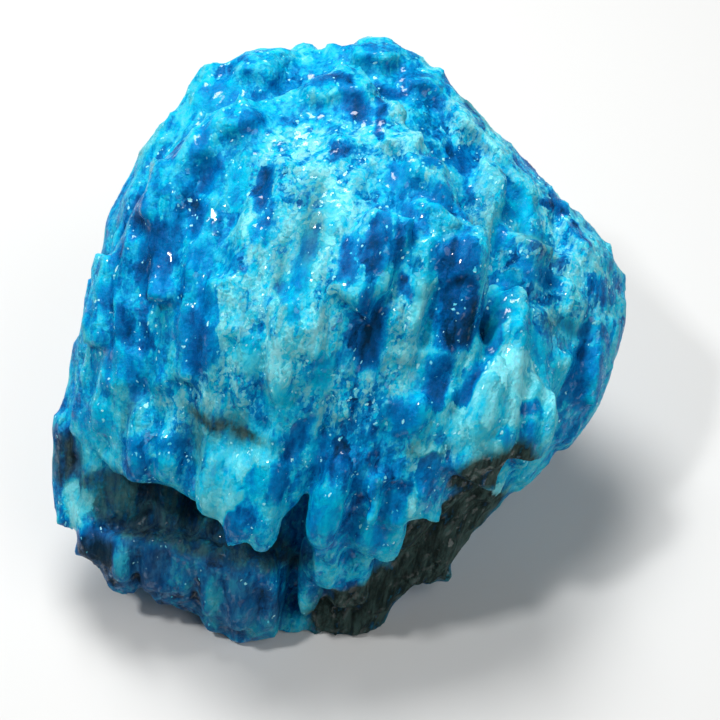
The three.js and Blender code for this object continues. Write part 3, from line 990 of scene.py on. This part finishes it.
# Colours of the flecks, which are painted glints and also pale specks of cracks.
DULL_PAINTED_GLINT_AND_CRACK = (0.04, 0.6, 0.78, 1.0)
BRIGHT_PAINTED_GLINT_AND_CRACK = (0.42, 0.86, 0.92, 1.0)

# How often each pattern repeats to the millimetre: across the grain, along it and outwards.
STREAKS = (1.1, 0.16, 1.1)
MOTTLES = (0.45, 0.27, 0.45)
FINE = (1.0, 0.75, 1.0)
PATCHES = (0.8, 0.5, 0.8)
WOBBLES = (1.0, 0.6, 1.0)
CRISP = (0.7, 0.4, 0.7)
SHARDS = (0.85, 0.42, 0.85)
CRUMBS = (1.9, 1.4, 1.9)
SEAMS = (0.5, 0.28, 0.5)
PEBBLES = (0.4, 0.19, 0.4)
FLECKS = (1.5, 1.2, 1.5)


def apatite(colours):
    """Clear blue crystal, pale where it is thin or broken, sugary between the crystals."""
    material = bpy.data.materials.new("apatite")
    material.use_nodes = True
    material.node_tree.nodes.clear()
    sheet = Sheet(material.node_tree)

    def worn(name, part="Fac"):
        return sheet.node("ShaderNodeAttribute", {"attribute_name": name})[part]

    tone, proud, stands = worn("tone"), worn("proud"), worn("stands")
    earthy = worn("earthy")
    slab_tone, facet_tone = worn("slab_tone"), worn("facet_tone")
    grain = worn("grain", "Vector")

    # Patterns that follow the grain.
    streak = sheet.noise(grain * STREAKS, 1.0, 4.0, 0.6) - 0.5
    mottle = sheet.noise(grain * MOTTLES, 1.0, 3.0, 0.55) - 0.5
    fine = sheet.noise(grain * FINE, 2.2, 4.0, 0.7) - 0.5
    patchy = sheet.noise(grain * PATCHES, 1.0, 4.0, 0.7) - 0.42
    bent = grain + (sheet.node("ShaderNodeTexNoise", {}, grain, Scale=0.9)["Color"] - 0.5) * 1.4
    flat = bent * SHARDS
    cut = sheet.cells(flat)
    shards = cut["Color"].parts()
    slope = (flat - cut["Position"]).dot(cut["Color"] - 0.5)
    crumbs = sheet.cells(bent * CRUMBS)["Color"].parts()
    seam = 1 - sheet.cells(bent * SEAMS, "DISTANCE_TO_EDGE")[0].between(0.0, 0.09)
    pebbles = bent * PEBBLES
    pebble = sheet.cells(pebbles, "DISTANCE_TO_EDGE")[0].between(0.05, 0.22)
    pebble_tone = sheet.cells(pebbles)["Color"].parts()[0]

    # How far inside a form a point is. Some edges are crisp, and others fade.
    wobble = sheet.noise(grain * WOBBLES, 1.1, 4.0, 0.65) - 0.5
    depth = worn("depth") + wobble * 2.4
    crisp = sheet.noise(grain * CRISP, 0.5, 2.0, 0.5).between(0.5, 0.64)
    inside = sheet.mix(crisp, depth.between(-1.1, 1.0), depth.between(-0.1, 0.25))
    rim = depth.between(-1.2, -0.1) * (1 - inside)
    form_light = worn("form_light")
    sugary = sheet.mix(inside, worn("sugary"), form_light.between(0.7, 0.9) * 0.6)

    # How light the blue is between the forms, and then inside them.
    outer = worn("light") + (slab_tone - 0.5) * 0.14 + (pebble_tone - 0.65) * pebble * 0.34
    outer = outer + (facet_tone - 0.5) * 0.14 + mottle * 0.55
    outer = outer + streak * (sugary * 0.4 + 0.4) + (tone - 0.5) * 0.1
    outer = outer + (shards[0] - 0.5) * (sugary * 0.16 + 0.12)
    outer = outer + (crumbs[0] - 0.5) * (sugary * 0.24 + 0.06)
    outer = outer + fine * (sugary * 0.6 + 0.16) + rim * patchy * 0.7
    outer = outer + seam * patchy.at_least(0.0) * 0.7
    inner = form_light + mottle * 0.55 + (facet_tone - 0.5) * 0.16 + fine * 0.14
    inner = inner + (pebble_tone - 0.55) * pebble * 0.2 + (shards[0] - 0.5) * (sugary * 0.3 + 0.1)
    inner = inner + (crumbs[0] - 0.5) * sugary * 0.3 + streak * 0.25
    inner = inner - depth.between(0.0, 1.6) * 0.08 + 0.05
    # proud and stands darken the hollows and lighten proud points: painted shade and light, which
    # also stands for the paler thin ridges of the crystal.
    light = sheet.mix(inside, outer, inner) + proud * 0.25 + stands * 0.05
    ramp = sheet.node("ShaderNodeValToRGB", {}, light)
    stops = [
        (0.0, NAVY),
        (0.2, tuple(colours.deep)),
        (0.42, tuple(colours.blue)),
        (0.64, tuple(colours.cyan)),
        (0.84, tuple(colours.pale)),
        (1.0, ICE),
    ]
    band = ramp.node.color_ramp
    while len(band.elements) < len(stops):
        band.elements.new(0.5)
    for element, (at, colour) in zip(band.elements, stops):
        element.position = at
        element.color = (*colour, 1.0)

    # Ashen streaks and frost on the sugary parts, then the dull fill, which is also painted shade
    # in the recess and under ledges, then the bright flecks, which are painted glints and also pale
    # specks of cracks.
    ashen = sugary * streak.between(-0.02, 0.16) * light.between(0.45, 0.65) * 0.5
    hue = sheet.blend(ashen, ramp["Color"], ASH)
    frost = sugary * light.between(0.4, 0.7) * (crumbs[2] + fine).between(0.45, 0.85) * 0.6
    hue = sheet.blend(frost, hue, FROST)
    earth = (*colours.earth, 1.0)
    fill = sheet.blend((mottle + streak * 1.5).between(-0.2, 0.25), DARK_FILL, earth)
    # How much fill there is: the dull matrix, and painted shade in the recess and under ledges.
    earth_and_shade_amount = earthy * ((mottle + fine + streak).between(-0.45, 0.1) * 0.45 + 0.62)
    earth_and_shade_amount = earth_and_shade_amount * (1 - inside * form_light.between(0.6, 0.9) * 0.85)
    hue = sheet.blend(earth_and_shade_amount, hue, fill)
    cluster = sheet.noise(grain, 0.45, 3.0, 0.6).between(0.45, 0.63)
    spots = sheet.cells(bent * FLECKS)
    luck, shine, size = spots["Color"].parts()
    chance = cluster * 0.5 + sugary * 0.15 + rim * 0.3 - earthy * 0.5
    spot = 1 - (spots["Distance"] + fine * 0.6 - size * 0.12).between(0.1, 0.3)
    # Painted glints: bright specks in the colour, in clusters and near the rims of forms, and also
    # pale specks of cracks.
    painted_glint_and_crack_fleck = (spot * (luck + chance).between(1.0, 1.2)).between(0.25, 0.75)
    hue = sheet.blend(painted_glint_and_crack_fleck, hue, sheet.blend(shine, DULL_PAINTED_GLINT_AND_CRACK, BRIGHT_PAINTED_GLINT_AND_CRACK))

    glint = crumbs[1].between(0.82, 0.86) * 0.5
    rough = 0.26 + sugary * 0.12 + earth_and_shade_amount * 0.35 + fine * 0.2
    height = slope * (1.9 - inside * 0.7) + crumbs[2] * (0.1 + sugary * 0.4) + fine * 0.42
    bump = sheet.node("ShaderNodeBump", {}, Strength=1.0, Distance=0.4 * MM, Height=height)[0]
    skin = sheet.node(
        "ShaderNodeBsdfPrincipled", {}, hue, Roughness=rough, Normal=bump, IOR=1.25,
        Subsurface_Weight=0.3, Subsurface_Radius=(0.2, 0.7, 1.0), Subsurface_Scale=0.7 * MM,
        Specular_IOR_Level=0.15, Coat_Weight=glint, Coat_Roughness=0.1, Coat_IOR=1.63,
    )
    sheet.node("ShaderNodeOutputMaterial", {}, skin[0])
    return material


# ---------------------------------------------------------------- the pieces


class MESH_OT_apatite_lump(bpy.types.Operator):
    """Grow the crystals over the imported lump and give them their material"""

    bl_idname = "mesh.apatite_lump"
    bl_label = "Apatite lump"

    def execute(self, context):
        settings = context.scene.apatite_lump
        crystals = new_object("apatite_crystals", lump_with_crystals())
        growth = crystal_growth(settings)
        crystals.data = growth.worn_by(
            crystals, {"Unevenness": settings.unevenness, "Seed": settings.seed}
        )

        lump = new_object("apatite_lump", crystals.data.copy())
        one_skin(lump, settings.voxel, settings.rounding)
        mark_forms(lump.data)
        relief = crystal_relief(settings)
        lump.data = relief.worn_by(
            lump,
            {
                "Form": settings.form * MM,
                "Slab": settings.slab,
                "Facet": settings.facet,
                "Grain": settings.grain,
            },
        )
        one_skin(lump, settings.skin, 0)
        mark_forms(lump.data)
        marks = crystal_marks(settings)
        material = apatite(context.scene.apatite_colours)
        lump.data = marks.worn_by(lump, {"Crystals": crystals, "Material": material})
        lump.data.name = "apatite_lump"
        bpy.data.objects.remove(crystals)
        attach(lump, "root")
        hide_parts("blue_apatite_crystal")
        return {"FINISHED"}


# ---------------------------------------------------------------- the studio

FLOOR_SIZE = 3.0
ROOM_COLOUR = (0.9, 0.95, 1.0, 1.0)
ROOM_STRENGTH = 0.08
SENSOR_WIDTH = 36.0
LAMPS_FACE = (0.0, 0.0, 0.03)
LAMPS = [  # name, place, size in metres and power in watts
    ("key", (-0.06, 0.20, 0.42), 0.2, 2.25),
    ("fill", (0.30, -0.22, 0.38), 0.4, 0.95),
    ("glint", (-0.20, -0.06, 0.38), 0.04, 0.7),
]


def hang_lamp(name, place, size, power):
    """A square soft lamp at a place, facing the lump."""
    light = bpy.data.lights.new(name, "AREA")
    light.shape = "SQUARE"
    light.size = size
    light.energy = power
    held = bpy.data.objects.new(name, light)
    held.location = place
    held.rotation_euler = (Vector(LAMPS_FACE) - held.location).to_track_quat("-Z", "Y").to_euler()
    bpy.context.scene.collection.objects.link(held)


class SCENE_OT_apatite_studio(bpy.types.Operator):
    """Lay the plain floor, hang the soft lamps and set the camera"""

    bl_idname = "scene.apatite_studio"
    bl_label = "Studio"

    def execute(self, context):
        settings = context.scene.apatite_studio
        bpy.ops.mesh.primitive_plane_add(size=FLOOR_SIZE, location=(0, 0, 0))
        floor = context.object
        floor.name = "floor"
        material = bpy.data.materials.new("plain_floor")
        material.use_nodes = True
        surface = material.node_tree.nodes["Principled BSDF"]
        surface.inputs["Base Color"].default_value = (*settings.floor_colour, 1.0)
        surface.inputs["Roughness"].default_value = 0.7
        floor.data.materials.append(material)

        world = bpy.data.worlds.new("soft_room")
        world.use_nodes = True
        room = world.node_tree.nodes["Background"]
        room.inputs["Color"].default_value = ROOM_COLOUR
        room.inputs["Strength"].default_value = ROOM_STRENGTH
        context.scene.world = world
        context.scene.view_settings.view_transform = "Standard"

        for one in LAMPS:
            hang_lamp(*one)

        camera = bpy.data.cameras.new("camera")
        camera.sensor_width = SENSOR_WIDTH
        camera.lens = SENSOR_WIDTH * settings.camera_distance / settings.view_width
        camera.clip_start = 0.01
        held = bpy.data.objects.new("camera", camera)
        x, y = VIEW_MIDDLE
        held.location = LUMP_TO_FRAME @ Vector((x * MM, y * MM, settings.camera_distance))
        held.rotation_euler = (LEAN_BACK, 0.0, 0.0)
        context.scene.collection.objects.link(held)
        context.scene.camera = held
        return {"FINISHED"}


class VIEW3D_PT_apatite(bpy.types.Panel):
    """The pieces of the apatite, in the order they are made"""

    bl_idname = "VIEW3D_PT_apatite"
    bl_label = "Blue Apatite Crystal"
    bl_space_type = "VIEW_3D"
    bl_region_type = "UI"
    bl_category = "Apatite"

    def draw(self, context):
        for settings in ("apatite_lump", "apatite_colours", "apatite_studio"):
            group = getattr(context.scene, settings)
            for name in group.__annotations__:
                self.layout.prop(group, name)
        for piece in PIECES:
            self.layout.operator(piece.bl_idname)


PIECES = [MESH_OT_apatite_lump, SCENE_OT_apatite_studio]
SETTINGS = {
    "apatite_lump": LumpSettings,
    "apatite_colours": ColourSettings,
    "apatite_studio": StudioSettings,
}


def register():
    for group in SETTINGS.values():
        bpy.utils.register_class(group)
    for name, group in SETTINGS.items():
        setattr(bpy.types.Scene, name, PointerProperty(type=group))
    for piece in PIECES:
        bpy.utils.register_class(piece)
    bpy.utils.register_class(VIEW3D_PT_apatite)


def unregister():
    bpy.utils.unregister_class(VIEW3D_PT_apatite)
    for piece in reversed(PIECES):
        bpy.utils.unregister_class(piece)
    for name, group in SETTINGS.items():
        delattr(bpy.types.Scene, name)
        bpy.utils.unregister_class(group)


def main():
    register()
    bpy.ops.mesh.apatite_lump()
    bpy.ops.scene.apatite_studio()


if __name__ == "__main__":
    main()
